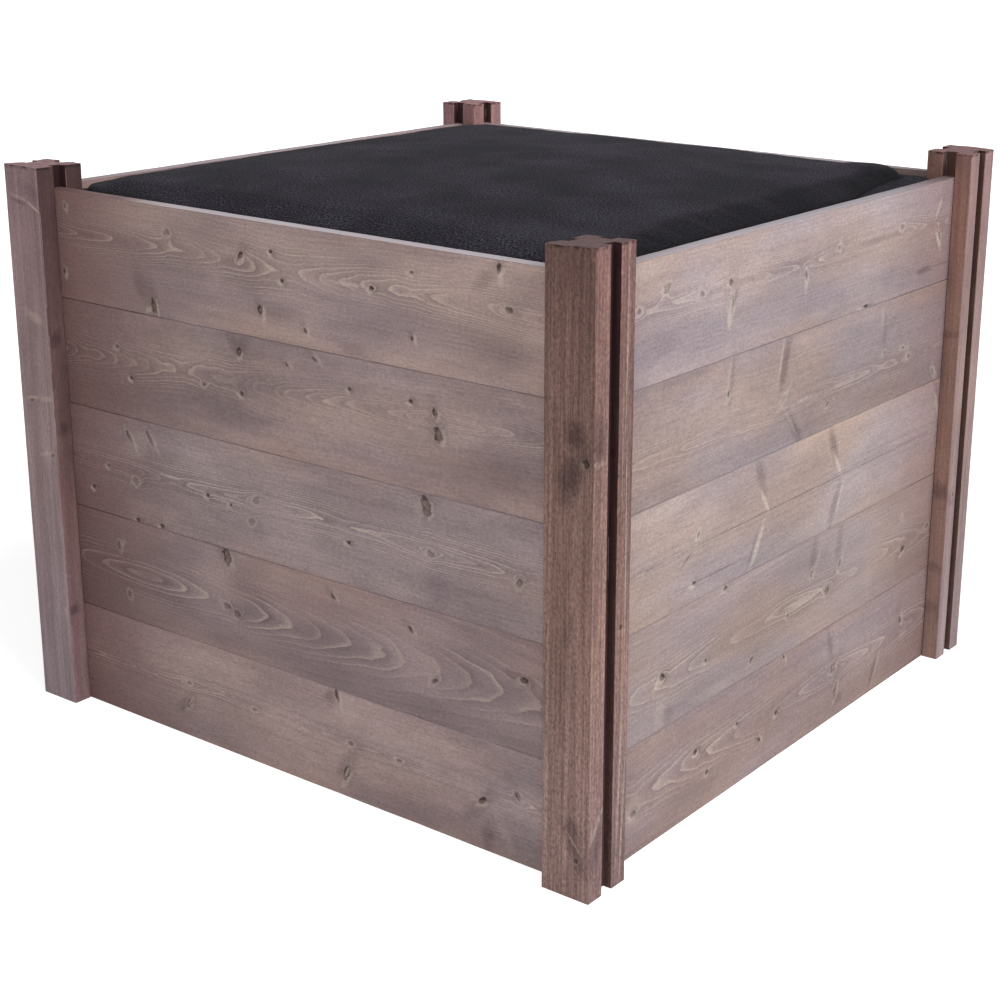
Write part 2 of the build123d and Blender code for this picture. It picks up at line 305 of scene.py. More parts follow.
class BinColours(bpy.types.PropertyGroup):
    """Colours of the timber, cover and floor, as they look."""
    board: paint("Board", "Stain on the boards", (0.535, 0.462, 0.460))
    board_warm: paint("Warm patches", "Where the stain is thin", (0.630, 0.548, 0.532))
    board_cool: paint("Cool patches", "Where the stain lies thick", (0.450, 0.397, 0.405))
    grain: paint("Grain", "Pale late wood", (0.73, 0.66, 0.605))
    knot: paint("Knot", "Heart of a knot", (0.43, 0.325, 0.27))
    knot_rim: paint("Knot rim", "Bark ring round a knot", (0.11, 0.085, 0.075))
    bare: paint("Bare wood", "Where the stain was rubbed off", (0.745, 0.683, 0.635))
    plume: paint("Plume", "Shade beside the boards' knots, as a tint", (0.72, 0.70, 0.72))
    # Board ends: partly stain soaked into the ends, partly painted shade near the posts
    board_end: paint("Board ends", "Stain soaked into the boards' ends", (0.45, 0.343, 0.333))
    # Painted light: this colour lightens the boards' upward-facing top edges as light from above would
    board_top: paint("Board tops", "Pale sawn top edges", (0.77, 0.735, 0.76))
    edge_warm: paint("Warm edges", "Pink-orange sapwood along some edges", (0.68, 0.555, 0.505))
    post: paint("Post", "Stain on the posts", (0.55, 0.44, 0.43))
    post_dark: paint("Post streaks", "Dark streaks on the posts", (0.37, 0.275, 0.268))
    post_plume: paint("Post plume", "Shade beside the posts' knots, as a tint", (0.68, 0.66, 0.70))
    post_top: paint("Post tops", "Sawn end grain of the posts", (0.49, 0.39, 0.395))
    # Painted shade: this colour darkens the posts' grooves and the joints between boards as shade would, and
    # also colours the dark torn line below the posts' sawn tops
    groove: paint("Groove", "Soaked wood in the grooves", (0.15, 0.048, 0.062))
    cover: paint("Cover", "Black cloth", (0.206, 0.196, 0.228))
    floor: paint("Floor", "Studio floor", (0.95, 0.95, 0.95))


def linear(colour):
    """A colour as it looks, as the light values that the shaders use."""
    parts = [c / 12.92 if c <= 0.04045 else ((c + 0.055) / 1.055) ** 2.4 for c in colour]
    return (*parts, 1.0)


def tinted(colour, light, tint=PLAIN):
    """A colour made lighter and tinted, as light values."""
    red, green, blue, alpha = linear(colour)
    return (red * light * tint[0], green * light, blue * light * tint[1], alpha)


# Node trees

class Graph:
    """Short hand for filling one node tree."""

    def __init__(self, tree):
        self.tree = tree

    def feed(self, socket, value):
        """Links a socket, or sets its own value."""
        if isinstance(value, bpy.types.NodeSocket):
            self.tree.links.new(value, socket)
        else:
            socket.default_value = value

    def node(self, kind, inputs=None, **settings):
        """A node with its settings, and its inputs fed by their names or numbers."""
        made = self.tree.nodes.new(kind)
        for key, value in settings.items():
            setattr(made, key, value)
        for name, value in (inputs or {}).items():
            self.feed(made.inputs[name], value)
        return made

    def math(self, operation, *values):
        return self.node("ShaderNodeMath", dict(enumerate(values)), operation=operation).outputs[0]

    def times(self, first, *others):
        for other in others:
            first = self.math("MULTIPLY", first, other)
        return first

    def plus(self, first, second):
        return self.math("ADD", first, second)

    def minus(self, first, second):
        return self.math("SUBTRACT", first, second)

    def size(self, value):
        return self.math("ABSOLUTE", value)

    def most(self, first, second):
        return self.math("MAXIMUM", first, second)

    def square(self, value):
        return self.math("POWER", value, 2.0)

    def diagonal(self, first, second):
        """Length of a step with two parts at right angles."""
        return self.math("SQRT", self.plus(self.square(first), self.square(second)))

    def scaled(self, value, factor, add=0.0):
        return self.math("MULTIPLY_ADD", value, factor, add)

    def fade(self, value, start, end):
        """0 at start, 1 at end, smooth between them."""
        values = {"Value": value, "From Min": start, "From Max": end}
        return self.node("ShaderNodeMapRange", values, interpolation_type="SMOOTHSTEP").outputs[0]

    def mix(self, factor, first, second, blend="MIX"):
        values = {0: factor, 6: first, 7: second}
        return self.node("ShaderNodeMix", values, data_type="RGBA", blend_type=blend).outputs[2]

    def tint(self, colour, by):
        """A colour times another colour or a value."""
        return self.mix(1.0, colour, by, "MULTIPLY")

    def over(self, colour, mask, strength, paint):
        """A colour with another laid over it where a mask says so."""
        return self.mix(self.scaled(mask, strength), colour, paint)

    def choose(self, second, first_vector, second_vector):
        """The first vector where a mask is 0, the second where it is 1."""
        values = {0: second, 4: first_vector, 5: second_vector}
        return self.node("ShaderNodeMix", values, data_type="VECTOR").outputs[1]

    def vector(self, x, y, z):
        return self.node("ShaderNodeCombineXYZ", {"X": x, "Y": y, "Z": z}).outputs[0]

    def stretch(self, vector, *factors):
        return self.node("ShaderNodeVectorMath", {0: vector, 1: factors}, operation="MULTIPLY").outputs[0]

    def shift(self, vector, offset):
        return self.node("ShaderNodeVectorMath", {0: vector, 1: offset}, operation="ADD").outputs[0]

    def noise(self, vector, scale=1.0, detail=2.0, roughness=0.5):
        values = {"Vector": vector, "Scale": scale, "Detail": detail, "Roughness": roughness}
        return self.node("ShaderNodeTexNoise", values).outputs[0]

    def split(self, vector):
        return self.node("ShaderNodeSeparateXYZ", {"Vector": vector}).outputs

    def place(self):
        """X, Y and Z of a point in its object."""
        return self.split(self.node("ShaderNodeTexCoord").outputs["Object"])

    def facing(self):
        """X, Y and Z of the way that the surface looks."""
        return self.split(self.node("ShaderNodeNewGeometry").outputs["Normal"])

    def stored(self, name):
        """A value that is kept on the mesh."""
        return self.node("ShaderNodeAttribute", attribute_name=name).outputs["Fac"]

    def group(self, tree, inputs):
        return self.node("ShaderNodeGroup", inputs, node_tree=tree).outputs


def shared_group(name, inputs, outputs, masks):
    """The shader group of that name, made when it is first asked for: masks gives what each output shows."""
    if name in bpy.data.node_groups:
        return bpy.data.node_groups[name]
    tree = bpy.data.node_groups.new(name, "ShaderNodeTree")
    for label, value in inputs.items():
        kind = "NodeSocketVector" if isinstance(value, tuple) else "NodeSocketFloat"
        socket = tree.interface.new_socket(label, in_out="INPUT", socket_type=kind)
        socket.default_value = value
    for label in outputs:
        tree.interface.new_socket(label, in_out="OUTPUT", socket_type="NodeSocketFloat")
    graph = Graph(tree)
    given = graph.node("NodeGroupInput").outputs
    graph.node("NodeGroupOutput", masks(graph, given))
    return tree


ORIGIN = (0.0, 0.0, 0.0)
RING_INPUTS = {"Plank": ORIGIN, "Heart Up": 0.0, "Rise": 0.0, "Heart Deep": 0.003, "Ring": 0.003,
               "Centre": 0.0, "Reach": 0.3, "Slope": 0.05, "Seed": 0.0, "Push": 0.0}
MARK_INPUTS = {"Plank": ORIGIN, "Rough": 0.5, "Along": 0.0, "Up": 0.0, "Long": 0.01, "Wide": 0.01,
               "Tilt": 0.0, "Dark": 0.5}


def growth_rings():
    return shared_group("Growth Rings", RING_INPUTS, ("Lines", "Furrow", "Tone"), ring_masks)


def ring_masks(graph, given):
    """Pale lines of rings round a heart that dips below the face, the dark wood behind each, and its tone."""
    seeded = graph.shift(given["Plank"], graph.vector(given["Seed"], given["Seed"], 0.0))
    along, up, deep = graph.split(given["Plank"])
    slow = graph.minus(graph.noise(graph.stretch(seeded, 1.0, 0.0, 0.0), 9.0), 0.5)
    lane = graph.minus(graph.noise(graph.stretch(seeded, 1.0, 0.3, 0.0), 4.0, 1.0), 0.5)
    fine = graph.minus(graph.noise(graph.stretch(seeded, 26.0, 70.0, 70.0), 1.0, 3.0), 0.5)
    heart = graph.plus(given["Heart Up"], graph.times(along, given["Rise"]))
    offset = graph.plus(graph.minus(up, heart), graph.scaled(lane, 0.02))
    repeat = graph.math("PINGPONG", graph.minus(along, given["Centre"]), given["Reach"])
    rounded = graph.math("SQRT", graph.plus(graph.square(repeat), 0.0003))
    depth = graph.plus(graph.times(rounded, given["Slope"]), graph.scaled(slow, 0.012))
    depth = graph.plus(depth, graph.plus(deep, given["Heart Deep"]))
    radius = graph.diagonal(offset, depth)
    total = graph.minus(graph.plus(radius, graph.scaled(fine, 0.0028)), given["Push"])
    count = graph.math("DIVIDE", total, given["Ring"])
    part = graph.math("FRACT", count)
    which = graph.node("ShaderNodeTexWhiteNoise", {"W": graph.math("FLOOR", count)}, noise_dimensions="1D")
    own = which.outputs["Value"]
    belt = graph.scaled(graph.fade(graph.size(offset), 0.045, 0.01), 0.84, 0.16)
    cloud = graph.fade(graph.noise(graph.stretch(seeded, 7.0, 16.0, 16.0)), 0.36, 0.58)
    strength = graph.times(graph.scaled(own, 0.8, 0.2), belt, graph.scaled(cloud, 0.65, 0.35))
    line = graph.times(graph.fade(part, 0.58, 0.93), graph.fade(part, 1.0, 0.95))
    furrow = graph.fade(part, 0.45, 0.02)
    return {"Lines": graph.times(line, strength), "Furrow": graph.times(furrow, strength), "Tone": own}


def ellipse_place(graph, given):
    """A point's place in a mark's ellipse, in half sizes: along it, across it and away from its middle."""
    along, up, _ = graph.split(given["Plank"])
    x = graph.minus(along, given["Along"])
    y = graph.minus(up, given["Up"])
    cosine = graph.math("COSINE", given["Tilt"])
    sine = graph.math("SINE", given["Tilt"])
    lengthways = graph.plus(graph.times(x, cosine), graph.times(y, sine))
    crossways = graph.minus(graph.times(y, cosine), graph.times(x, sine))
    a = graph.math("DIVIDE", lengthways, given["Long"])
    b = graph.math("DIVIDE", crossways, given["Wide"])
    return a, b, graph.diagonal(a, b)


def knot_mark():
    inputs = {**MARK_INPUTS, **dict.fromkeys(KNOT_PARTS, 0.0)}
    return shared_group("Knot Mark", inputs, KNOT_PARTS, knot_masks)


def knot_masks(graph, given):
    """One knot added to those before it: dark core and rim with a pale fleck, or a pale ring if faint."""
    dark = given["Dark"]
    a, b, plain = ellipse_place(graph, given)
    away = graph.plus(plain, graph.scaled(given["Rough"], 1.8, -0.9))
    outside = graph.times(graph.minus(away, 0.85), given["Wide"])
    bearing = graph.plus(graph.scaled(a, -0.6), graph.scaled(b, -0.8))
    bearing = graph.math("DIVIDE", bearing, graph.most(plain, 0.3))
    core = graph.times(graph.fade(outside, 0.4 * MM, -1.2 * MM), dark)
    lee = graph.scaled(graph.fade(bearing, 0.6, -0.6), 0.6, 0.4)
    rim = graph.times(graph.fade(graph.size(graph.plus(outside, 1.2 * MM)), 2.6 * MM, 0.8 * MM), lee, dark)
    small = graph.times(graph.fade(given["Wide"], 5 * MM, 2.5 * MM), core)
    ring = graph.fade(graph.size(graph.minus(outside, 1 * MM)), 3 * MM, 0.6 * MM)
    ring = graph.times(ring, graph.scaled(graph.minus(1.0, dark), 0.7))
    fleck = graph.times(graph.fade(outside, 0.2 * MM, 1.8 * MM), graph.fade(outside, 7 * MM, 2.5 * MM))
    fleck = graph.times(fleck, graph.fade(bearing, 0.3, 0.9), dark)
    lengthways = graph.times(graph.fade(a, -1.8, 0.8), graph.fade(a, 5.5, 0.8))
    plume = graph.times(graph.fade(graph.size(b), 3.4, 0.4), lengthways, dark)
    size = graph.plus(given["Long"], given["Wide"])
    push = graph.times(graph.square(graph.fade(plain, 4.0, 0.4)), graph.scaled(size, 0.45))
    marks = {"Core": core, "Rim": graph.most(rim, graph.scaled(small, 0.8)), "Pale": graph.most(ring, fleck),
             "Plume": plume, "Push": push}
    return {label: graph.most(given[label], value) for label, value in marks.items()}


def smear_mark():
    inputs = {**MARK_INPUTS, "Light": 0.0, **dict.fromkeys(SMEAR_PARTS, 0.0)}
    return shared_group("Smear Mark", inputs, SMEAR_PARTS, smear_masks)


def smear_masks(graph, given):
    """One soft streak or patch of bare or darker wood, added to those before it."""
    _, _, away = ellipse_place(graph, given)
    body = graph.fade(graph.plus(away, graph.scaled(given["Rough"], 1.4, -0.7)), 1.5, 0.35)
    return {"Bare": graph.most(given["Bare"], graph.times(body, given["Light"])),
            "Shade": graph.most(given["Shade"], graph.times(body, given["Dark"]))}


def stain_wash():
    parts = ("Patch", "Pool", "Drift", "Tinge", "Fibre", "Saw", "Speck")
    return shared_group("Stain Wash", {"Plank": ORIGIN, "Seed": 0.0}, parts, wash_masks)


def wash_masks(graph, given):
    """How the stain lies: patches, thin pools, drifts and tinges, with long fibres, saw marks and specks."""
    seeded = graph.shift(given["Plank"], graph.vector(given["Seed"], given["Seed"], given["Seed"]))
    elsewhere = graph.shift(seeded, (31.0, 17.0, 5.0))
    along, _, _ = graph.split(given["Plank"])
    teeth = graph.math("SINE", graph.times(along, 2 * math.pi / SAW_PITCH))
    sawn = graph.fade(graph.noise(graph.stretch(seeded, 4.0, 3.0, 3.0), 1.0, 1.0), 0.5, 0.66)
    return {
        "Patch": graph.fade(graph.noise(graph.stretch(seeded, 3.4, 10.0, 7.0), 1.0, 3.0, 0.55), 0.36, 0.64),
        "Pool": graph.fade(graph.noise(graph.stretch(seeded, 6.0, 70.0, 50.0), 1.0, 3.0, 0.6), 0.45, 0.75),
        "Drift": graph.noise(graph.stretch(seeded, 6.0, 15.0, 9.0), 1.0, 3.0, 0.55),
        "Tinge": graph.fade(graph.noise(graph.stretch(elsewhere, 3.2, 9.0, 7.0)), 0.34, 0.66),
        "Fibre": graph.noise(graph.stretch(seeded, 30.0, 420.0, 420.0), 1.0, 4.0, 0.65),
        "Saw": graph.times(teeth, sawn),
        "Speck": graph.noise(graph.stretch(seeded, 0.6, 1.0, 1.0), 330.0, 2.0, 0.7),
    }


def new_material(name):
    """Empty material: its graph and its surface shader."""
    material = bpy.data.materials.new(name)
    material.use_nodes = True
    shader = next(n for n in material.node_tree.nodes if n.type == "BSDF_PRINCIPLED")
    return material, Graph(material.node_tree), shader


def finish_surface(graph, shader, colour, roughness, height, bump, shine):
    """Feeds a material's shader; bump is the strength and depth of its relief."""
    strength, depth = bump
    relief = graph.node("ShaderNodeBump", {"Strength": strength, "Distance": depth, "Height": height})
    graph.feed(shader.inputs["Base Color"], colour)
    graph.feed(shader.inputs["Roughness"], roughness)
    graph.feed(shader.inputs["Normal"], relief.outputs[0])
    shader.inputs["Specular IOR Level"].default_value = shine


def plank_place(graph, lengthwise, crosswise, depthwise, middle, outer, inward):
    """Plank coordinates from the object's own: along it, up its face from the middle, in from its outside."""
    axes = graph.place()
    up = graph.minus(axes[crosswise], middle)
    deep = graph.times(graph.minus(axes[depthwise], outer), inward)
    return graph.vector(axes[lengthwise], up, deep)


def mark_chain(graph, tree, plank, marks, middle, parts):
    """Like marks of one face, each added to those before it."""
    rough = graph.noise(plank, 150.0, 3.0, 0.65)
    chain = dict.fromkeys(parts, 0.0)
    for mark in marks:
        given = {"Plank": plank, "Rough": rough, "Along": mark.along * MM, "Up": mark.up * MM - middle,
                 "Long": mark.long * MM, "Wide": mark.wide * MM, "Tilt": math.radians(mark.tilt)}
        if isinstance(mark, Smear):
            given["Light"] = max(mark.tone, 0.0)
            given["Dark"] = max(-mark.tone, 0.0)
        else:
            given["Dark"] = mark.dark
        outputs = graph.group(tree, {**given, **chain})
        chain = {label: outputs[label] for label in parts}
    return chain


def face_marks(graph, plank, look, middle):
    """The masks of all knots and all smears of a piece, and the shade round both."""
    knots = mark_chain(graph, knot_mark(), plank, look.knots, middle, KNOT_PARTS)
    smears = mark_chain(graph, smear_mark(), plank, look.smears, middle, SMEAR_PARTS)
    return knots, smears, graph.most(graph.scaled(knots["Plume"], 0.6), smears["Shade"])


def board_wood(name, cut, colours):
    """Stained board: its own rings, knots, streaks and patches of stain."""
    material, graph, shader = new_material(f"{name}_wood")
    low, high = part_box(name)
    side = name.split("_")[0]
    look = SIDE_LOOKS[side]
    lengthwise, depthwise = (0, 1) if side in ("front", "rear") else (1, 0)
    outer, inward = (low[depthwise], 1.0) if side in ("front", "left") else (high[depthwise], -1.0)
    middle = (low.z + high.z) / 2
    half = (high.z - low.z) / 2
    plank = plank_place(graph, lengthwise, 2, depthwise, middle, outer, inward)
    seed = random.Random(name).uniform(1.0, 90.0)
    knots, smears, dusk = face_marks(graph, plank, cut, middle)
    rings = graph.group(growth_rings(), {
        "Plank": plank, "Heart Up": cut.heart_up * MM, "Rise": cut.rise, "Heart Deep": cut.heart_deep * MM,
        "Ring": cut.ring * MM, "Centre": cut.centre * MM, "Reach": cut.reach * MM, "Slope": cut.slope,
        "Seed": seed, "Push": knots["Push"]})
    wash = graph.group(stain_wash(), {"Plank": plank, "Seed": seed})
    along, up, _ = graph.split(plank)

    def shade(colour):
        return tinted(colour, cut.light, cut.tint)

    # Stain in warm and cool patches, with sapwood where the heart is far away
    patch = graph.scaled(wash["Patch"], look.wash, 0.5 - 0.5 * look.wash)
    colour = graph.mix(patch, shade(colours.board), shade(colours.board_warm))
    from_heart = graph.size(graph.minus(up, cut.heart_up * MM))
    sapwood = graph.times(graph.fade(from_heart, half - 17 * MM, half + 17 * MM), wash["Patch"])
    colour = graph.over(colour, sapwood, 0.65 * look.wash, shade(colours.edge_warm))
    colour = graph.over(colour, wash["Pool"], 0.18 * look.wash, shade(colours.board_cool))
    colour = graph.mix(dusk, colour, linear(colours.plume), "MULTIPLY")
    colour = graph.tint(colour, graph.scaled(wash["Drift"], 0.66 * look.wash, 1 - 0.33 * look.wash))
    colour = graph.tint(colour, graph.scaled(rings["Tone"], 0.1, 0.95))
    red, blue = 0.035 * look.tinge, 0.055 * look.tinge
    tinge = graph.mix(wash["Tinge"], (1 - red, 1.0, 1 + blue, 1.0), (1 + red, 1.0, 1 - blue, 1.0))
    colour = graph.tint(colour, tinge)
    # Ends darkened partly by stain soaked into them and partly by painted shade near the posts, in which the
    # rings show less
    start = graph.scaled(graph.fade(along, -0.16, -0.43), look.start_dark)
    end = graph.scaled(graph.fade(along, 0.16, 0.44), look.end_dark)
    soak_and_shade = graph.plus(start, end)
    colour = graph.mix(soak_and_shade, colour, tinted(colours.board_end, cut.light, (1.0, cut.tint[1])))
    clear = graph.scaled(soak_and_shade, -0.6 * cut.lines, cut.lines)
    colour = graph.mix(graph.times(rings["Lines"], clear), colour, shade(colours.grain))
    colour = graph.tint(colour, graph.scaled(rings["Furrow"], -0.28 * cut.lines, 1.0))
    # Knots and bare wood, then the fibres and saw marks over all of it
    colour = graph.over(colour, knots["Pale"], 0.55, shade(colours.bare))
    colour = graph.over(colour, knots["Core"], 0.75, shade(colours.knot))
    colour = graph.over(colour, knots["Rim"], 0.9, linear(colours.knot_rim))
    colour = graph.over(colour, smears["Bare"], 0.58, shade(colours.bare))
    fibre = graph.plus(graph.scaled(wash["Fibre"], 0.42), graph.scaled(wash["Speck"], 0.8))
    colour = graph.tint(colour, graph.plus(fibre, 0.39))
    colour = graph.tint(colour, graph.scaled(wash["Saw"], 0.06, 1.0))
    # Painted shade along the joints between boards, and painted light on the sawn top edges that face upward
    # Painted shade: the face is darkened along its top and bottom edges where the boards meet
    joint_shade = graph.fade(graph.size(up), half - 1.4 * MM, half - 0.4 * MM)
    joint_shade = graph.times(joint_shade, graph.fade(wash["Drift"], 0.35, 0.6))
    colour = graph.over(colour, joint_shade, 0.4, linear(colours.groove))
    # Painted light: the upward-facing top edges are made paler as light from above would
    top = graph.times(graph.fade(graph.facing()[2], 0.7, 0.95), graph.fade(soak_and_shade, 0.6, 0.0))
    colour = graph.over(colour, top, look.top_pale, shade(colours.board_top))
    height = graph.plus(graph.scaled(wash["Fibre"], 0.6), graph.scaled(rings["Lines"], 0.3))
    height = graph.plus(height, graph.scaled(wash["Saw"], 0.12))
    height = graph.minus(height, graph.scaled(knots["Rim"], 0.8))
    roughness = graph.scaled(wash["Fibre"], 0.3, 0.6)
    finish_surface(graph, shader, colour, roughness, height, WOOD_BUMP, WOOD_SHINE)
    return material


def post_wood(name, look, colours):
    """Stained post: fine upright grain, each face in its own tone with painted light and shade, knots in grey
    patches, painted shade in the grooves.
    """
    material, graph, shader = new_material(f"{name}_wood")
    low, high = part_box(name)
    middle = (low + high) / 2
    sideways = graph.stored("sideways")
    in_groove = graph.stored("groove")
    end_grain = graph.stored("end_grain")
    y_face = plank_place(graph, 2, 0, 1, middle.x, low.y, 1.0)
    x_face = graph.shift(plank_place(graph, 2, 1, 0, middle.y, low.x, 1.0), (0.0, FACE_APART * MM, 0.0))
    plank = graph.choose(sideways, y_face, x_face)
    seed = random.Random(name).uniform(1.0, 90.0)
    knots, smears, dusk = face_marks(graph, plank, look, 0.0)
    wash = graph.group(stain_wash(), {"Plank": plank, "Seed": seed})
    along, _, _ = graph.split(plank)
    climb = graph.math("DIVIDE", along, high.z)

    def both_faces(colour):
        return graph.mix(sideways, tinted(colour, 1.0, look.tint), tinted(colour, 1.0, look.side_tint))

    def climbing(foot_and_top):
        foot, top = foot_and_top
        return graph.scaled(climb, top - foot, foot)

    # Upright streaks, shaded and rubbed bare in places
    dark = both_faces(colours.post_dark)
    seeded = graph.shift(plank, graph.vector(seed, seed, seed))
    band = graph.fade(graph.noise(graph.stretch(seeded, 1.6, 70.0, 55.0), 1.0, 3.0, 0.55), 0.36, 0.66)
    streak = graph.fade(graph.noise(graph.stretch(seeded, 4.0, 300.0, 300.0), 1.0, 3.0, 0.6), 0.42, 0.62)
    colour = graph.over(both_faces(colours.post), band, 0.32, dark)
    colour = graph.over(colour, streak, 0.42 * look.coarse, dark)
    colour = graph.tint(colour, graph.scaled(wash["Drift"], 0.9, 0.55))
    colour = graph.mix(dusk, colour, linear(colours.post_plume), "MULTIPLY")
    bare = graph.times(smears["Bare"], graph.minus(1.0, in_groove))
    colour = graph.over(colour, bare, 0.7, tinted(colours.grain, 0.85))
    fibre = graph.plus(wash["Fibre"], graph.scaled(wash["Speck"], 1.6))
    colour = graph.tint(colour, graph.scaled(fibre, look.coarse, 1.05 - 1.3 * look.coarse))
    colour = graph.tint(colour, graph.scaled(wash["Saw"], 0.09, 1.0))
    colour = graph.over(colour, knots["Pale"], 0.5, tinted(colours.grain, 0.6))
    colour = graph.over(colour, knots["Core"], 0.85, tinted(colours.knot, 0.5))
    colour = graph.over(colour, knots["Rim"], 0.9, linear(colours.knot_rim))
    # The gritty sawn top and the torn line just below its sloping edge
    grit = graph.scaled(graph.noise(plank, 160.0, 4.0, 0.75), 3.0, -0.5)
    sawn = graph.tint(linear(colours.post_top), grit)
    colour = graph.over(colour, end_grain, 0.75, sawn)
    x, y, z = graph.place()
    lean_x, lean_y, drop = look.lean
    slope = graph.plus(graph.scaled(x, lean_x), graph.scaled(y, lean_y))
    sawn_level = high.z - drop * MM - middle.x * lean_x - middle.y * lean_y
    below_top = graph.minus(graph.plus(slope, sawn_level), z)
    torn = graph.fade(graph.noise(plank, 90.0, 3.0, 0.6), 0.4, 0.6)
    chipped = graph.times(graph.fade(below_top, 5 * MM, 1.5 * MM), torn, graph.minus(1.0, end_grain))
    colour = graph.over(colour, chipped, 0.8, linear(colours.groove))
    # Cooler near the ground, redder near the top, painted light and shade on each face from foot to top, and
    # painted shade in the grooves
    damp = graph.scaled(graph.fade(along, 0.4, 0.05), 0.8)
    colour = graph.mix(damp, colour, graph.tint(colour, (0.92, 1.0, 1.10, 1.0)))
    ripe = graph.fade(along, 0.45, 0.78)
    colour = graph.mix(ripe, colour, graph.tint(colour, (1.09, 1.0, 1.03, 1.0)))
    # Painted light and shade: each face's lightness from foot to top
    colour = graph.tint(colour, graph.mix(sideways, climbing(look.light), climbing(look.side_light)))
    # Painted shade in the grooves, from foot to top
    soak = graph.times(in_groove, climbing(look.soak))
    colour = graph.mix(soak, colour, linear(colours.groove))
    height = graph.plus(wash["Fibre"], graph.scaled(wash["Speck"], 0.3))
    height = graph.minus(height, graph.scaled(knots["Rim"], 0.8))
    roughness = graph.scaled(wash["Fibre"], 0.3, 0.62)
    finish_surface(graph, shader, colour, roughness, height, WOOD_BUMP, WOOD_SHINE)
    return material


def cover_cloth(colours, sizes):
    """Black woven cloth: weave and lint that follow its cut, a dark sewn line with painted shade along it,
    and painted shade on slopes that face +X.
    """
    material, graph, shader = new_material("cover_cloth")
    cut = graph.node("ShaderNodeUVMap", uv_map="cut").outputs[0]
    across, along, _ = graph.split(cut)
    turns = 2 * math.pi / THREAD_PITCH
    weave = graph.times(*(graph.math("SINE", graph.times(run, turns)) for run in (across, along)))
    lint = graph.noise(cut, 420.0, 3.0, 0.75)
    fluff = graph.noise(cut, 340.0, 3.0, 0.7)
    worn = graph.noise(cut, 7.0, 4.0, 0.6)
    half_cut = round((INSIDE_X - EDGE_ROOM) / sizes.cover_mesh) * sizes.cover_mesh
    from_edge = graph.math("MINIMUM", *(graph.math("PINGPONG", run, half_cut) for run in (across, along)))
    seam_in = FLANGE_ROWS * sizes.cover_mesh
    off_seam = graph.size(graph.minus(from_edge, seam_in))
    # Painted shade along the seam on both sides, with the dark sewn thread line laid over it
    seam_shade = graph.scaled(graph.stored("seam"), 0.35)
    seam = graph.most(graph.fade(off_seam, 2.4 * MM, 0.8 * MM), seam_shade)
    colour = graph.mix(graph.fade(worn, 0.35, 0.7), tinted(colours.cover, 0.52), tinted(colours.cover, 0.96))
    colour = graph.tint(colour, graph.scaled(lint, 7.0, -2.5))
    colour = graph.tint(colour, graph.scaled(fluff, 6.4, -2.2))
    inside = graph.fade(from_edge, seam_in - 3 * MM, seam_in)
    # Painted shade on the cloth's slopes that face +X, as if they were turned away from the light
    painted_side_shade = graph.times(graph.fade(graph.facing()[0], 0.06, 0.42), inside)
    colour = graph.tint(colour, graph.scaled(painted_side_shade, -0.6, 1.0))
    colour = graph.over(colour, seam, 0.92, THREAD_COLOUR)
    height = graph.plus(graph.scaled(weave, 0.25), lint)
    finish_surface(graph, shader, colour, graph.scaled(lint, 0.1, 0.88), height, CLOTH_BUMP, CLOTH_SHINE)
    return material


# Modelling

def select_only(block):
    """Makes one object the selected and active one."""
    bpy.ops.object.select_all(action="DESELECT")
    block.select_set(True)
    bpy.context.view_layer.objects.active = block


def start_block(name, low, high):
    """Box between two corners, with its place in its mesh."""
    bpy.ops.object.select_all(action="DESELECT")
    bpy.ops.mesh.primitive_cube_add(size=1.0, location=(Vector(low) + Vector(high)) / 2)
    block = bpy.context.object
    block.name = name
    block.data.name = name
    block.scale = Vector(high) - Vector(low)
    bpy.ops.object.transform_apply(location=True, rotation=True, scale=True)
    return block


def select_edges(block, axis):
    """In edit mode, selects the edges that run along one axis."""
    bpy.ops.mesh.select_mode(type="EDGE")
    bpy.ops.mesh.select_all(action="DESELECT")
    mesh = bmesh.from_edit_mesh(block.data)
    for edge in mesh.edges:
        run = edge.verts[1].co - edge.verts[0].co
        edge.select_set(abs(run[axis]) > 0.99 * run.length)
    bmesh.update_edit_mesh(block.data)


def vectors_of(items, what):
    """One vector for each point or face of a mesh, such as its normal."""
    values = np.empty(len(items) * 3)
    items.foreach_get(what, values)
    return values.reshape(-1, 3)


def points_of(block):
    return vectors_of(block.data.vertices, "co")


def set_points(block, co):
    block.data.vertices.foreach_set("co", co.ravel())
    block.data.update()


def noise_at(points, scale, seed=0.0):
    """Smooth noise from about -1 to 1 at each point."""
    offset = Vector((seed, seed * 0.7, -seed * 0.4))
    return np.array([noise.noise(Vector(p) * scale + offset) for p in points])


def smooth_angle(block, degrees=40):
    select_only(block)
    bpy.ops.object.shade_smooth_by_angle(angle=math.radians(degrees))


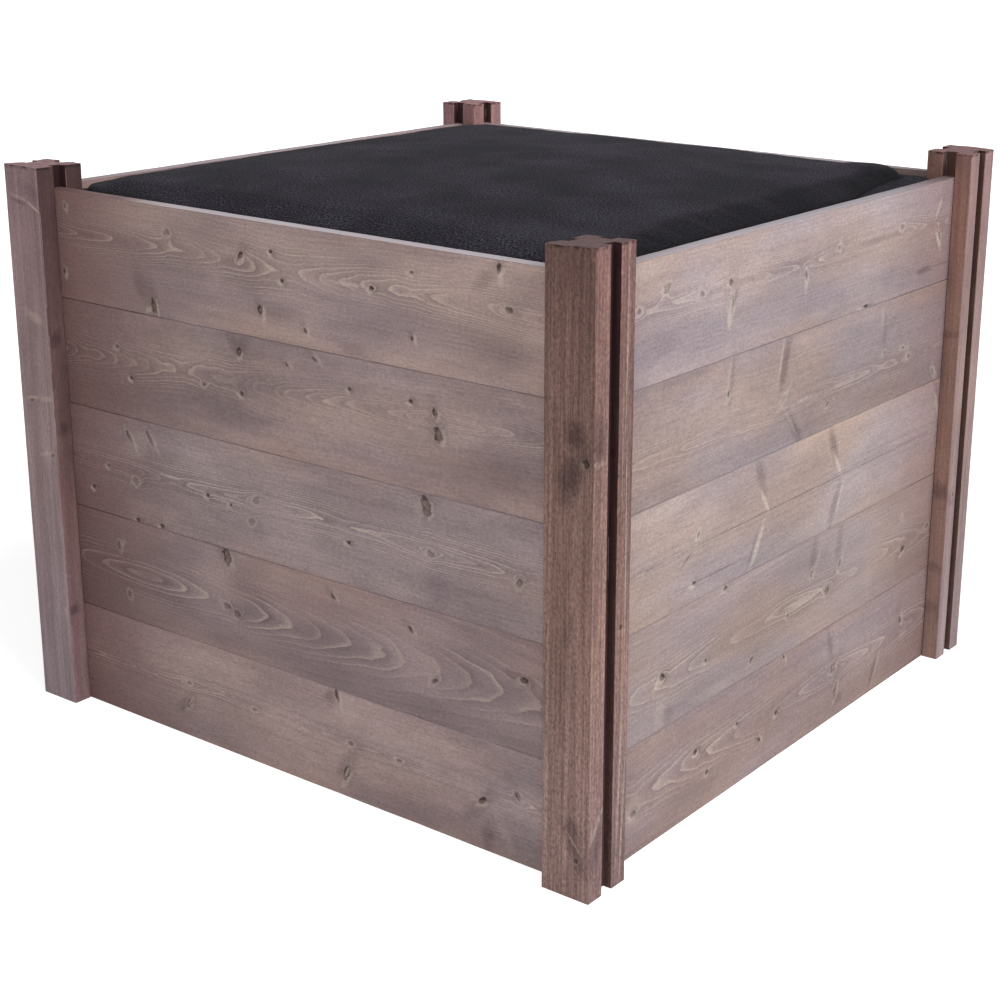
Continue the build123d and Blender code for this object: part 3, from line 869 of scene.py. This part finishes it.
def make_plank(name, sizes):
    """Board with bevelled long edges that are worn unevenly."""
    low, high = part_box(name)
    along = 0 if high.x - low.x > high.y - low.y else 1
    across = 1 - along
    plank = start_block(f"{name}_plank", low, high)
    bpy.ops.object.mode_set(mode="EDIT")
    select_edges(plank, along)
    bpy.ops.mesh.bevel(offset=sizes.board_bevel, segments=2, affect="EDGES")
    select_edges(plank, along)
    bpy.ops.mesh.subdivide(number_cuts=PLANK_STEPS)
    bpy.ops.object.mode_set(mode="OBJECT")
    co = points_of(plank)
    seed = random.Random(name).uniform(0, 50)
    wear = 0.5 + 0.5 * noise_at(co, 9.0, seed) + 0.35 * noise_at(co, 45.0, seed)
    wear = np.clip(wear, 0, 1) ** 2 * sizes.board_wear
    middle = np.array((Vector(low) + Vector(high)) / 2)
    upper = high.z - co[:, 2] < 3 * sizes.board_bevel
    lower = co[:, 2] - low.z < 3 * sizes.board_bevel
    outer = np.abs(co[:, across] - middle[across]) > (high[across] - low[across]) / 2 - 2 * sizes.board_bevel
    edge = (upper | lower) & outer
    co[edge, 2] -= np.sign(co[edge, 2] - middle[2]) * wear[edge]
    co[edge, across] -= np.sign(co[edge, across] - middle[across]) * wear[edge] * 0.5
    set_points(plank, co)
    smooth_angle(plank)
    return plank


def groove_boxes(name, sizes):
    """The grooves of one post: one in each X face and one in the Y face that looks into the bin."""
    low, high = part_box(name)
    middle = (low + high) / 2
    half, deep, past = sizes.groove_width / 2, sizes.groove_depth, 10 * MM
    spans = ((low.x - past, low.x + deep), (high.x - deep, high.x + past))
    boxes = [((x0, middle.y - half, low.z - past), (x1, middle.y + half, high.z + past)) for x0, x1 in spans]
    y0, y1 = (high.y - deep, high.y + past) if middle.y < 0 else (low.y - past, low.y + deep)
    boxes.append(((middle.x - half, y0, low.z - past), (middle.x + half, y1, high.z + past)))
    return boxes


def cut_away(block, boxes):
    """Cuts boxes out of a block."""
    for low, high in boxes:
        cutter = start_block("groove_cutter", low, high)
        select_only(block)
        bpy.ops.object.modifier_add(type="BOOLEAN")
        block.modifiers[-1].object = cutter
        block.modifiers[-1].operation = "DIFFERENCE"
        bpy.ops.object.modifier_apply(modifier=block.modifiers[-1].name)
        bpy.data.objects.remove(cutter)


def smooth_step(values, start, end):
    t = np.clip((values - start) / (end - start), 0, 1)
    return t * t * (3 - 2 * t)


def store(block, name, values, domain="POINT"):
    """Keeps one value per point or face, for the material."""
    layer = block.data.attributes.new(name, "FLOAT", domain)
    layer.data.foreach_set("value", np.asarray(values, dtype=np.float32))


def bisect_all(block, axis, places):
    """In edit mode, cuts a block right through at several places along one axis."""
    normal = [0.0, 0.0, 0.0]
    normal[axis] = 1.0
    for place in places:
        point = [0.0, 0.0, 0.0]
        point[axis] = place
        bpy.ops.mesh.select_all(action="SELECT")
        bpy.ops.mesh.bisect(plane_co=point, plane_no=normal)


def make_timber(name, sizes):
    """Post with three grooves, eased and chipped arrises and a rough sawn top."""
    low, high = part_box(name)
    timber = start_block(f"{name}_timber", low, high)
    boxes = groove_boxes(name, sizes)
    cut_away(timber, boxes)
    bpy.ops.object.mode_set(mode="EDIT")
    select_edges(timber, 2)
    bpy.ops.mesh.bevel(offset=sizes.post_bevel, segments=2, affect="EDGES")
    for axis in (0, 1):
        count = round((high[axis] - low[axis]) / TOP_GRID)
        bisect_all(timber, axis, np.linspace(low[axis], high[axis], count + 1)[1:-1].tolist())
    select_edges(timber, 2)
    bpy.ops.mesh.subdivide(number_cuts=POST_STEPS)
    bpy.ops.object.mode_set(mode="OBJECT")
    co, normal = points_of(timber), vectors_of(timber.data.vertices, "normal")
    seed = random.Random(name).uniform(0, 50)
    arris = np.clip((1 - np.abs(normal[:, :2]).max(axis=1) - np.abs(normal[:, 2])) * 4, 0, 1)
    chips = noise_at(co * (1, 1, 0.3), 34.0, seed) + 0.6 * noise_at(co, 120.0, seed)
    worn = np.clip(0.25 + 0.75 * chips, 0, 1) * sizes.post_wear
    co -= normal * (arris * worn)[:, None]
    middle = (low + high) / 2
    lean_x, lean_y, drop = POST_LOOKS[name].lean
    saw = (co[:, 0] - middle.x) * lean_x + (co[:, 1] - middle.y) * lean_y - drop * MM
    plan = co * (1, 1, 0)
    saw += (noise_at(plan, 60.0, seed) + noise_at(plan, 260.0, seed)) * TOP_ROUGH
    torn = np.clip(noise_at(plan, 150.0, seed + 9) - 0.15, 0, 1) * TOP_TORN
    to_low = (co - low)[:, :2].min(axis=1)
    to_high = (np.array(high) - co)[:, :2].min(axis=1)
    to_side = np.minimum(to_low, to_high)
    saw -= torn * (to_side < TORN_REACH)
    is_top = co[:, 2] > high.z - HAIR
    co[:, 2] = np.where(is_top, np.minimum(co[:, 2] + saw, high.z), co[:, 2])
    set_points(timber, co)
    mark_faces(timber, boxes)
    smooth_angle(timber, 35)
    return timber


def mark_faces(timber, boxes):
    """Says of each face of a post whether it looks along X, is end grain or lies in a groove."""
    centre = vectors_of(timber.data.polygons, "center")
    normal = vectors_of(timber.data.polygons, "normal")
    inside = np.zeros(len(centre), bool)
    for box_low, box_high in boxes:
        above = centre[:, :2] > np.array(box_low[:2]) - HAIR
        below = centre[:, :2] < np.array(box_high[:2]) + HAIR
        inside |= (above & below).all(axis=1)
    upright = np.abs(normal[:, 2]) < 0.5
    store(timber, "groove", inside & upright, "FACE")
    store(timber, "sideways", np.abs(normal[:, 0]) > 0.6, "FACE")
    store(timber, "end_grain", ~upright, "FACE")


class BIN_OT_posts(bpy.types.Operator):
    """Model the four grooved corner posts"""
    bl_idname = "compost_bin.posts"
    bl_label = "Posts"

    def execute(self, context):
        for name in POSTS:
            timber = make_timber(name, context.scene.bin_sizes)
            timber.data.materials.clear()
            timber.data.materials.append(post_wood(name, POST_LOOKS[name], context.scene.bin_colours))
            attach(timber, "posts")
            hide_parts(name)
        return {"FINISHED"}


def row_inset(row, rows, half, seam, notch, corner):
    """How far in from the boards a grid row lies: flange rows to the seam, then even rows to the middle."""
    shoulder = seam * NOTCH_ROWS / FLANGE_ROWS * (1 - corner) + notch * corner
    flange = np.where(row <= NOTCH_ROWS, shoulder * row / NOTCH_ROWS, seam)
    inner = seam + (row - FLANGE_ROWS) / (rows - FLANGE_ROWS) * (half - seam)
    return np.where(row <= FLANGE_ROWS, flange, inner)


def cover_shape(sizes):
    """Grid of the cover as it lies in the bin: place of the top and bottom cloth, rows in from the border."""
    half_x, half_y = INSIDE_X - EDGE_ROOM, INSIDE_Y - EDGE_ROOM
    notch_x, notch_y = half_x - POST_INNER.x + EDGE_ROOM, half_y - POST_INNER.y + EDGE_ROOM
    rows = round(half_x / sizes.cover_mesh)
    index = np.arange(-rows, rows + 1)
    index_x, index_y = np.meshgrid(index, index, indexing="ij")
    row_x, row_y = rows - np.abs(index_x), rows - np.abs(index_y)
    share_x, share_y = np.abs(index_x) / rows, np.abs(index_y) / rows
    # The rear right corner is tucked in loosely: its flange widens sooner and shows more
    loose = (index_x > 0) & (index_y > 0)
    corner_y = smooth_step(share_y, np.where(loose, 0.34, 0.86), np.where(loose, 0.80, 0.96))
    corner_x = smooth_step(share_x, np.where(loose, 0.66, 0.86), np.where(loose, 0.88, 0.96))
    seam_in, corner_in, loose_in = 14 * MM, 20 * MM, 30 * MM
    rounding = np.where(loose, 18, 5) * MM
    round_y, round_x = (rounding * smooth_step(share, 0.84, 0.97) for share in (share_y, share_x))
    seam_y = seam_in + np.where(loose, loose_in, corner_in) * corner_y + round_y
    seam_x = seam_in + corner_in * corner_x + round_x
    inset_x = row_inset(row_x, rows, half_x, seam_y, notch_x, corner_y)
    inset_y = row_inset(row_y, rows, half_y, seam_x, notch_y, corner_x)
    x = np.sign(index_x) * (half_x - inset_x)
    y = np.sign(index_y) * (half_y - inset_y)
    depth_rows = np.minimum(row_x, row_y)
    to_y = smooth_step(row_x - row_y, -12, 12)
    near_corner = corner_y * (1 - to_y) + corner_x * to_y
    # The flange hangs down between cover and boards, and lies flatter at the corners
    seam_drop, seam_rise = 7 * MM, 4 * MM
    edge_drop, edge_rise = 24 * MM, 18 * MM
    seam_z = BOARD_TOP - seam_drop + seam_rise * near_corner
    edge_z = seam_z - edge_drop + edge_rise * near_corner
    base = edge_z + (seam_z - edge_z) * np.minimum(depth_rows / FLANGE_ROWS, 1)
    # Inside the seam the cloth rolls up steeply, then rises slowly to the crown
    roll_reach, crown_reach = 40 * MM, 380 * MM
    roll = (9 + 6 * near_corner) * MM
    rolled = np.ones_like(x)
    risen = np.ones_like(x)
    for inset, seam in ((inset_x, seam_y), (inset_y, seam_x)):
        past = inset - seam
        rolled = rolled * np.sqrt(1 - (1 - np.clip(past / roll_reach, 0, 1)) ** 2)
        risen = risen * (1 - (1 - np.clip(past / crown_reach, 0, 1)) ** 2)
    crown = BOARD_TOP + sizes.crown - sizes.swell
    top = base + roll * rolled + (crown - seam_z - roll) * risen
    bottom = base - roll * rolled - (seam_z - BELLY_LOW - sizes.swell - roll) * risen
    return x, y, top, bottom, row_x, row_y, depth_rows


def make_cover(sizes):
    """Two cloths joined round the flange's edge, notched at the posts."""
    x, y, top, bottom, row_x, row_y, depth_rows = cover_shape(sizes)
    kept = ~((row_x < NOTCH_ROWS) & (row_y < NOTCH_ROWS))
    number = np.full(x.shape, -1)
    number[kept] = np.arange(kept.sum())
    count = kept.sum()
    flat = np.column_stack((x[kept], y[kept]))
    waves = np.array([noise.noise(Vector((*place * 5.5, 3.0))) + 0.5 * noise.noise(Vector((*place * 13, 8.0)))
                      for place in flat])
    free = smooth_step(depth_rows[kept], FLANGE_ROWS, FLANGE_ROWS + 12)
    half_cloth, wave_height = 0.6 * MM, 4 * MM
    upper = np.column_stack((flat, top[kept] + half_cloth + waves * free * wave_height))
    lower = np.column_stack((flat, bottom[kept] - half_cloth))
    ring = (number[:-1, :-1], number[1:, :-1], number[1:, 1:], number[:-1, 1:])
    corners = np.stack(ring, axis=-1).reshape(-1, 4)
    quads = corners[(corners >= 0).all(axis=1)].tolist()
    used = dict.fromkeys(edge for quad in quads for edge in zip(quad, quad[1:] + quad[:1]))
    rim = [(end, start, start + count, end + count) for start, end in used if (end, start) not in used]
    faces = quads + [tuple(q + count for q in quad[::-1]) for quad in quads] + rim
    mesh = bpy.data.meshes.new("padded_cover")
    mesh.from_pydata(np.vstack((upper, lower)).tolist(), [], faces)
    cover = bpy.data.objects.new("padded_cover", mesh)
    bpy.context.scene.collection.objects.link(cover)
    underside_apart = 2.0
    cut = np.column_stack(np.nonzero(kept)) * sizes.cover_mesh
    cut = np.vstack((cut, cut + underside_apart))
    loops = np.empty(len(mesh.loops), dtype=np.int32)
    mesh.loops.foreach_get("vertex_index", loops)
    mesh.uv_layers.new(name="cut").data.foreach_set("uv", cut[loops].ravel().astype(np.float32))
    row = np.tile(depth_rows[kept], 2)
    store(cover, "seam", row == FLANGE_ROWS)
    pinned = cover.vertex_groups.new(name="flange")
    pinned.add(np.nonzero(row <= FLANGE_ROWS)[0].tolist(), 1.0, "REPLACE")
    return cover


def swell_cover(cover, swell):
    """Lets the wadding press the cloth out between the pinned flange, as far as the swell."""
    scene = bpy.context.scene
    select_only(cover)
    start = points_of(cover)
    bpy.ops.object.modifier_add(type="CLOTH")
    modifier = cover.modifiers[-1]
    cloth = modifier.settings
    cloth.quality = 6
    cloth.mass = 0.3
    cloth.tension_stiffness = cloth.compression_stiffness = 18
    cloth.shear_stiffness = 6
    cloth.bending_stiffness = 0.4
    cloth.use_pressure = True
    cloth.uniform_pressure_force = 3.0
    cloth.shrink_min = cloth.shrink_max = -0.006
    cloth.effector_weights.gravity = 0.0
    cloth.vertex_group_mass = "flange"
    modifier.collision_settings.use_collision = False
    last_frame = 20
    modifier.point_cache.frame_start = 1
    modifier.point_cache.frame_end = last_frame
    for number in range(1, last_frame + 1):
        scene.frame_set(number)
    bpy.ops.object.modifier_apply(modifier=modifier.name)
    scene.frame_set(1)
    moved = points_of(cover) - start
    travel = np.linalg.norm(moved, axis=1, keepdims=True)
    set_points(cover, start + moved * np.minimum(1, swell / np.maximum(travel, 1e-9)))


class BIN_OT_cover(bpy.types.Operator):
    """Model the padded cover that lies in the bin's opening"""
    bl_idname = "compost_bin.cover"
    bl_label = "Padded cover"

    def execute(self, context):
        sizes = context.scene.bin_sizes
        cover = make_cover(sizes)
        swell_cover(cover, sizes.swell)
        select_only(cover)
        bpy.ops.object.modifier_add(type="SUBSURF")
        bpy.ops.object.modifier_apply(modifier=cover.modifiers[-1].name)
        co = points_of(cover)
        co[:, 0] = np.clip(co[:, 0], EDGE_ROOM / 2 - INSIDE_X, INSIDE_X - EDGE_ROOM / 2)
        co[:, 1] = np.clip(co[:, 1], EDGE_ROOM / 2 - INSIDE_Y, INSIDE_Y - EDGE_ROOM / 2)
        set_points(cover, co)
        bpy.ops.object.shade_smooth()
        cover.data.materials.append(cover_cloth(context.scene.bin_colours, sizes))
        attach(cover, "cover")
        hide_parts("cover_top_panel", "cover_bottom_panel", "cover_wadding")
        return {"FINISHED"}


class BIN_OT_boards(bpy.types.Operator):
    """Model every board with its own grain, knots and stain"""
    bl_idname = "compost_bin.boards"
    bl_label = "Boards"

    def execute(self, context):
        for side in SIDES:
            for level in range(1, BOARDS_PER_SIDE + 1):
                name = f"{side}_board_{level}"
                plank = make_plank(name, context.scene.bin_sizes)
                cut = BOARD_CUTS.get(name) or guess_cut(name)
                plank.data.materials.append(board_wood(name, cut, context.scene.bin_colours))
                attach(plank, name)
                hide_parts(name)
        return {"FINISHED"}


class BIN_OT_stage(bpy.types.Operator):
    """Set the floor, light and camera"""
    bl_idname = "compost_bin.stage"
    bl_label = "Stage"

    def execute(self, context):
        set_floor(context.scene.bin_colours)
        set_light(context.scene)
        set_camera(context.scene)
        context.scene.view_settings.view_transform = "Standard"
        return {"FINISHED"}


def set_floor(colours):
    bpy.ops.object.select_all(action="DESELECT")
    bpy.ops.mesh.primitive_plane_add(size=120.0, location=(0, 0, -0.0005))
    floor = bpy.context.object
    floor.name = "studio_floor"
    bpy.ops.object.transform_apply(location=True, rotation=True, scale=True)
    material, graph, shader = new_material("studio_floor")
    shader.inputs["Base Color"].default_value = linear(colours.floor)
    shader.inputs["Roughness"].default_value = 0.9
    shader.inputs["Specular IOR Level"].default_value = 0.0
    seen = graph.node("ShaderNodeLightPath").outputs["Is Camera Ray"]
    lift = graph.node("ShaderNodeEmission", {"Strength": graph.times(seen, FLOOR_LIFT)})
    both = graph.node("ShaderNodeAddShader")
    graph.feed(both.inputs[0], shader.outputs[0])
    graph.feed(both.inputs[1], lift.outputs[0])
    output = next(n for n in material.node_tree.nodes if n.type == "OUTPUT_MATERIAL")
    graph.feed(output.inputs["Surface"], both.outputs[0])
    floor.data.materials.append(material)


def set_light(scene):
    """White surroundings, a soft sun from the right and a softbox by the corner nearest the camera."""
    world = bpy.data.worlds.new("studio")
    scene.world = world
    world.use_nodes = True
    graph = Graph(world.node_tree)
    sky = next(n for n in world.node_tree.nodes if n.type == "BACKGROUND")
    path = graph.node("ShaderNodeLightPath").outputs
    mirrored = graph.most(path["Is Glossy Ray"], path["Is Transmission Ray"])
    shown = graph.most(path["Is Camera Ray"], mirrored)
    sky.inputs["Color"].default_value = (1.0, 1.0, 1.0, 1.0)
    graph.feed(sky.inputs["Strength"], graph.scaled(shown, 1.0 - AMBIENT, AMBIENT))
    sun = add_light("SUN", "key_light", (3.0, 0.0, 3.0), (-0.80, 0.0, -0.60))
    sun.data.energy = 2.4
    sun.data.angle = math.radians(40)
    softbox = add_light("AREA", "near_softbox", (1.3, -2.2, 1.4), (-0.45, 0.85, -0.38))
    softbox.data.shape = "SQUARE"
    softbox.data.size = 1.2
    softbox.data.energy = 20.0
    softbox.visible_camera = False


def add_light(kind, name, place, direction):
    """Light at a place, looking in a direction."""
    bpy.ops.object.select_all(action="DESELECT")
    bpy.ops.object.light_add(type=kind, location=place)
    light = bpy.context.object
    light.name = name
    light.rotation_euler = Vector(direction).to_track_quat("-Z", "Y").to_euler()
    return light


def set_camera(scene):
    """Camera at the photograph's viewing angle, fitted to the corners of the posts and boards."""
    focal_pixels, image_pixels = 1879.6, 1000.0
    principal_x, principal_y = 574.7, 451.0
    place = Vector((1.6530, -2.1047, 1.1696))
    forward = Vector((-0.56626, 0.77035, -0.29310))
    right = Vector((0.80390, 0.59468, 0.00988))
    data = bpy.data.cameras.new("photo_camera")
    camera = bpy.data.objects.new("photo_camera", data)
    scene.collection.objects.link(camera)
    data.sensor_width = 36.0
    data.lens = data.sensor_width * focal_pixels / image_pixels
    data.shift_x = 0.5 - principal_x / image_pixels
    data.shift_y = principal_y / image_pixels - 0.5
    up = right.cross(forward)
    turn = Matrix((right, up, -forward)).transposed()
    camera.matrix_world = Matrix.Translation(place) @ turn.to_4x4()
    scene.camera = camera


class BIN_PT_panel(bpy.types.Panel):
    """Lists the bin's pieces, sizes and colours"""
    bl_label = "Compost Bin"
    bl_idname = "BIN_PT_panel"
    bl_space_type = "VIEW_3D"
    bl_region_type = "UI"
    bl_category = "Compost Bin"

    def draw(self, context):
        for operator in OPERATORS:
            self.layout.operator(operator.bl_idname)
        for group in (context.scene.bin_sizes, context.scene.bin_colours):
            box = self.layout.box()
            for name in group.__annotations__:
                box.prop(group, name)


OPERATORS = (BIN_OT_boards, BIN_OT_posts, BIN_OT_cover, BIN_OT_stage)
CLASSES = (BinSizes, BinColours, *OPERATORS, BIN_PT_panel)


def register():
    for item in CLASSES:
        bpy.utils.register_class(item)
    bpy.types.Scene.bin_sizes = bpy.props.PointerProperty(type=BinSizes)
    bpy.types.Scene.bin_colours = bpy.props.PointerProperty(type=BinColours)


def unregister():
    del bpy.types.Scene.bin_colours
    del bpy.types.Scene.bin_sizes
    for item in reversed(CLASSES):
        bpy.utils.unregister_class(item)


def main():
    register()
    bpy.ops.compost_bin.boards()
    bpy.ops.compost_bin.posts()
    bpy.ops.compost_bin.cover()
    bpy.ops.compost_bin.stage()


if __name__ == "__main__":
    main()
